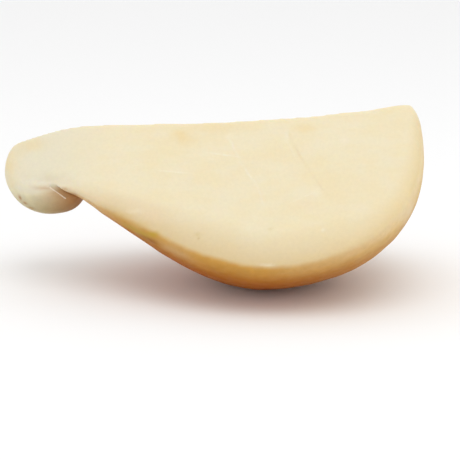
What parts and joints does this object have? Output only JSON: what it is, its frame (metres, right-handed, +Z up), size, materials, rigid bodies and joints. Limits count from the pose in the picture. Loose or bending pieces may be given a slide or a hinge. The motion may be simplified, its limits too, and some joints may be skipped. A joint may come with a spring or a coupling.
{
  "type": "caciocavallo cheese quarter",
  "caption": "Lengthwise quarter of a pear-shaped stretched-curd cheese with its ball-shaped head, lying on its rounded belly with both cut faces up; prepared food to lay on a board or counter.",
  "frame": {"origin": "centre of the bounding box in X and Y, at the lowest point, which is the flat spot that the belly rests on", "axes": "+X along the length from the head to the blunt tail end, +Y across towards the hidden cut face, +Z up"},
  "size_m": [0.2796, 0.1556, 0.1217],
  "materials": {
    "cheese": "firm cream-yellow cheese paste, slightly oily and faintly translucent, turning to a thin golden to orange-brown rind below the cut edges"
  },
  "bodies": {
    "root": {"cheese": "cheese"}
  },
  "joints": []
}
